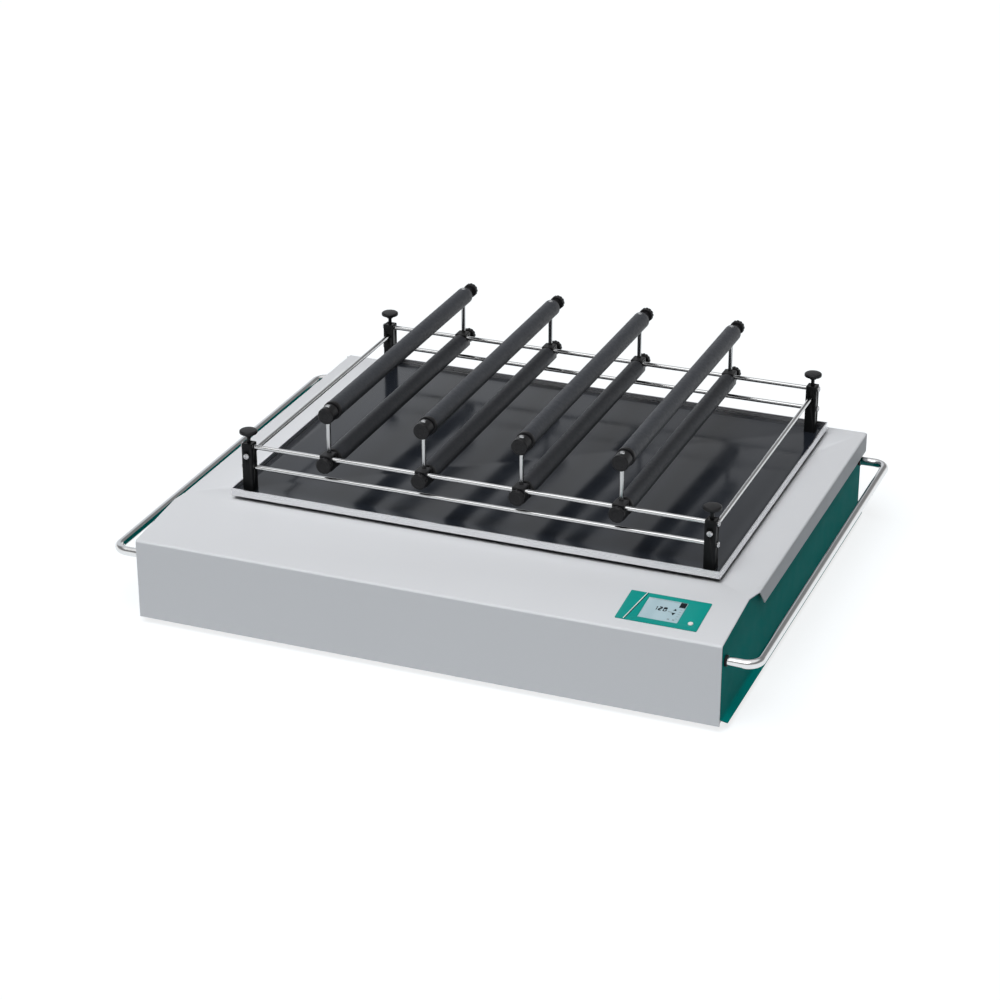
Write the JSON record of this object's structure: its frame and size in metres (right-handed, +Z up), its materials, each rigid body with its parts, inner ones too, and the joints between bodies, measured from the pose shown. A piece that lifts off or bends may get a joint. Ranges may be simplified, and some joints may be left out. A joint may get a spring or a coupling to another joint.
{
  "type": "flask shaker",
  "caption": "Low bench orbital shaker with a floating tray, corner posts, guard rods and padded clamp bars that hold flasks and bottles.",
  "frame": {"origin": "middle of the whole object's footprint, on the surface it stands on", "axes": "+X to the right as seen from the control side, +Y to the rear, +Z up"},
  "size_m": [0.882, 0.66, 0.2759],
  "materials": {
    "hood_paint": "satin light grey powder coat",
    "side_paint": "satin dark green powder coat",
    "pan_sheet": "zinc grey sheet",
    "handle_steel": "polished stainless tube",
    "tray_steel": "brushed stainless sheet",
    "rod_steel": "bright ground rod",
    "mat_rubber": "smooth glossy dark grey mat",
    "post_black": "matt black coating",
    "black_plastic": "moulded, fine grain",
    "bar_foam": "closed-cell foam sleeve, fine matt skin",
    "fascia_film": "teal film, satin gloss",
    "window": "pale blue-grey display window",
    "key_plastic": "pale moulded key",
    "foot_rubber": "matt black",
    "cast_metal": "cast and machined",
    "motor_black": "black motor case",
    "belt_rubber": "toothless drive belt"
  },
  "bodies": {
    "housing": {"base_pan": "pan_sheet", "hood": "hood_paint", "side_panel_left": "side_paint", "side_panel_right": "side_paint", "handle_left": "handle_steel", "handle_right": "handle_steel", "foot_front_left": "foot_rubber", "foot_front_right": "foot_rubber", "foot_rear_left": "foot_rubber", "foot_rear_right": "foot_rubber", "control_fascia": "fascia_film", "display_window": "window", "power_inlet": "black_plastic", "drive_motor": "motor_black", "drive_belt": "belt_rubber", "bearing_frame": "cast_metal"},
    "key": {"power_key": "key_plastic"},
    "motor_wheel": {"motor_pulley": "cast_metal"},
    "crank": {"main_crank": "cast_metal", "drive_pulley": "cast_metal"},
    "idler_1": {"idler_crank_1": "cast_metal"},
    "idler_2": {"idler_crank_2": "cast_metal"},
    "idler_3": {"idler_crank_3": "cast_metal"},
    "platform": {"carrier_frame": "cast_metal", "tray": "tray_steel", "tray_mat": "mat_rubber", "corner_post_front_left": "post_black", "corner_post_front_right": "post_black", "corner_post_rear_left": "post_black", "corner_post_rear_right": "post_black", "front_rod_high": "rod_steel", "front_rod_low": "rod_steel", "rear_rod_high": "rod_steel", "rear_rod_low": "rod_steel", "side_rod_left": "rod_steel", "side_rod_right": "rod_steel"},
    "knob_front_left": {"corner_knob_front_left": "black_plastic"},
    "knob_front_right": {"corner_knob_front_right": "black_plastic"},
    "knob_rear_left": {"corner_knob_rear_left": "black_plastic"},
    "knob_rear_right": {"corner_knob_rear_right": "black_plastic"},
    "low_set_1": {"low_bar_1": "bar_foam"},
    "high_set_1": {"high_bar_1": "bar_foam"},
    "front_grip_turn_1": {"front_grip_1": "black_plastic"},
    "rear_grip_turn_1": {"rear_grip_1": "black_plastic"},
    "high_grip_turn_1": {"high_grip_1": "black_plastic"},
    "low_set_2": {"low_bar_2": "bar_foam"},
    "high_set_2": {"high_bar_2": "bar_foam"},
    "front_grip_turn_2": {"front_grip_2": "black_plastic"},
    "rear_grip_turn_2": {"rear_grip_2": "black_plastic"},
    "high_grip_turn_2": {"high_grip_2": "black_plastic"},
    "low_set_3": {"low_bar_3": "bar_foam"},
    "high_set_3": {"high_bar_3": "bar_foam"},
    "front_grip_turn_3": {"front_grip_3": "black_plastic"},
    "rear_grip_turn_3": {"rear_grip_3": "black_plastic"},
    "high_grip_turn_3": {"high_grip_3": "black_plastic"},
    "low_set_4": {"low_bar_4": "bar_foam"},
    "high_set_4": {"high_bar_4": "bar_foam"},
    "front_grip_turn_4": {"front_grip_4": "black_plastic"},
    "rear_grip_turn_4": {"rear_grip_4": "black_plastic"},
    "high_grip_turn_4": {"high_grip_4": "black_plastic"}
  },
  "joints": [
    {"name": "crank_spin", "type": "hinge", "parent": "housing", "child": "crank", "pos_m": [0, 0.056, 0.06], "axis": [0, 0, 1], "continuous": true},
    {"name": "tray_orbit", "type": "hinge", "parent": "crank", "child": "platform", "pos_m": [0.0125, 0.056, 0.1], "axis": [0, 0, 1], "continuous": true},
    {"name": "idler_spin_1", "type": "hinge", "parent": "housing", "child": "idler_1", "pos_m": [-0.24, -0.094, 0.06], "axis": [0, 0, 1], "continuous": true},
    {"name": "idler_spin_2", "type": "hinge", "parent": "housing", "child": "idler_2", "pos_m": [0.24, -0.094, 0.06], "axis": [0, 0, 1], "continuous": true},
    {"name": "idler_spin_3", "type": "hinge", "parent": "housing", "child": "idler_3", "pos_m": [0, 0.241, 0.06], "axis": [0, 0, 1], "continuous": true},
    {"name": "motor_spin", "type": "hinge", "parent": "housing", "child": "motor_wheel", "pos_m": [-0.2, 0.056, 0.06], "axis": [0, 0, 1], "continuous": true},
    {"name": "key_press", "type": "slide", "parent": "housing", "child": "key", "axis": [0, 0.104, -0.9946], "range_m": [0, 0.001], "stiffness_N_per_m": 600},
    {"name": "corner_knob_turn_front_left", "type": "hinge", "parent": "platform", "child": "knob_front_left", "pos_m": [-0.3054, -0.1746, 0.2244], "axis": [0, 0, 1], "range_deg": [0, 720]},
    {"name": "corner_knob_turn_front_right", "type": "hinge", "parent": "platform", "child": "knob_front_right", "pos_m": [0.3304, -0.1746, 0.2244], "axis": [0, 0, 1], "range_deg": [0, 720]},
    {"name": "corner_knob_turn_rear_left", "type": "hinge", "parent": "platform", "child": "knob_rear_left", "pos_m": [-0.3054, 0.2866, 0.2244], "axis": [0, 0, 1], "range_deg": [0, 720]},
    {"name": "corner_knob_turn_rear_right", "type": "hinge", "parent": "platform", "child": "knob_rear_right", "pos_m": [0.3304, 0.2866, 0.2244], "axis": [0, 0, 1], "range_deg": [0, 720]},
    {"name": "set_slide_1", "type": "slide", "parent": "platform", "child": "low_set_1", "axis": [1, 0, 0], "range_m": [-0.085, 0.05]},
    {"name": "bar_lift_1", "type": "slide", "parent": "low_set_1", "child": "high_set_1", "axis": [0, 0, 1], "range_m": [-0.039, 0.002]},
    {"name": "front_grip_spin_1", "type": "hinge", "parent": "low_set_1", "child": "front_grip_turn_1", "pos_m": [-0.193, -0.1836, 0.1973], "axis": [0, -1, 0], "range_deg": [0, 720]},
    {"name": "rear_grip_spin_1", "type": "hinge", "parent": "low_set_1", "child": "rear_grip_turn_1", "pos_m": [-0.193, 0.3106, 0.1973], "axis": [0, 1, 0], "range_deg": [0, 720]},
    {"name": "high_grip_spin_1", "type": "hinge", "parent": "high_set_1", "child": "high_grip_turn_1", "pos_m": [-0.193, 0.3166, 0.2634], "axis": [0, 1, 0], "range_deg": [0, 720]},
    {"name": "set_slide_2", "type": "slide", "parent": "platform", "child": "low_set_2", "axis": [1, 0, 0], "range_m": [-0.05, 0.05]},
    {"name": "bar_lift_2", "type": "slide", "parent": "low_set_2", "child": "high_set_2", "axis": [0, 0, 1], "range_m": [-0.039, 0.002]},
    {"name": "front_grip_spin_2", "type": "hinge", "parent": "low_set_2", "child": "front_grip_turn_2", "pos_m": [-0.059, -0.1836, 0.1973], "axis": [0, -1, 0], "range_deg": [0, 720]},
    {"name": "rear_grip_spin_2", "type": "hinge", "parent": "low_set_2", "child": "rear_grip_turn_2", "pos_m": [-0.059, 0.3106, 0.1973], "axis": [0, 1, 0], "range_deg": [0, 720]},
    {"name": "high_grip_spin_2", "type": "hinge", "parent": "high_set_2", "child": "high_grip_turn_2", "pos_m": [-0.059, 0.3166, 0.2634], "axis": [0, 1, 0], "range_deg": [0, 720]},
    {"name": "set_slide_3", "type": "slide", "parent": "platform", "child": "low_set_3", "axis": [1, 0, 0], "range_m": [-0.05, 0.05]},
    {"name": "bar_lift_3", "type": "slide", "parent": "low_set_3", "child": "high_set_3", "axis": [0, 0, 1], "range_m": [-0.039, 0.002]},
    {"name": "front_grip_spin_3", "type": "hinge", "parent": "low_set_3", "child": "front_grip_turn_3", "pos_m": [0.075, -0.1836, 0.1973], "axis": [0, -1, 0], "range_deg": [0, 720]},
    {"name": "rear_grip_spin_3", "type": "hinge", "parent": "low_set_3", "child": "rear_grip_turn_3", "pos_m": [0.075, 0.3106, 0.1973], "axis": [0, 1, 0], "range_deg": [0, 720]},
    {"name": "high_grip_spin_3", "type": "hinge", "parent": "high_set_3", "child": "high_grip_turn_3", "pos_m": [0.075, 0.3166, 0.2634], "axis": [0, 1, 0], "range_deg": [0, 720]},
    {"name": "set_slide_4", "type": "slide", "parent": "platform", "child": "low_set_4", "axis": [1, 0, 0], "range_m": [-0.05, 0.09]},
    {"name": "bar_lift_4", "type": "slide", "parent": "low_set_4", "child": "high_set_4", "axis": [0, 0, 1], "range_m": [-0.039, 0.002]},
    {"name": "front_grip_spin_4", "type": "hinge", "parent": "low_set_4", "child": "front_grip_turn_4", "pos_m": [0.209, -0.1836, 0.1973], "axis": [0, -1, 0], "range_deg": [0, 720]},
    {"name": "rear_grip_spin_4", "type": "hinge", "parent": "low_set_4", "child": "rear_grip_turn_4", "pos_m": [0.209, 0.3106, 0.1973], "axis": [0, 1, 0], "range_deg": [0, 720]},
    {"name": "high_grip_spin_4", "type": "hinge", "parent": "high_set_4", "child": "high_grip_turn_4", "pos_m": [0.209, 0.3166, 0.2634], "axis": [0, 1, 0], "range_deg": [0, 720]}
  ],
  "couplings": [
    {"joint": "tray_orbit", "follows": "crank_spin", "ratio": -1},
    {"joint": "idler_spin_1", "follows": "crank_spin", "ratio": 1},
    {"joint": "idler_spin_2", "follows": "crank_spin", "ratio": 1},
    {"joint": "idler_spin_3", "follows": "crank_spin", "ratio": 1},
    {"joint": "motor_spin", "follows": "crank_spin", "ratio": 3.8889}
  ]
}
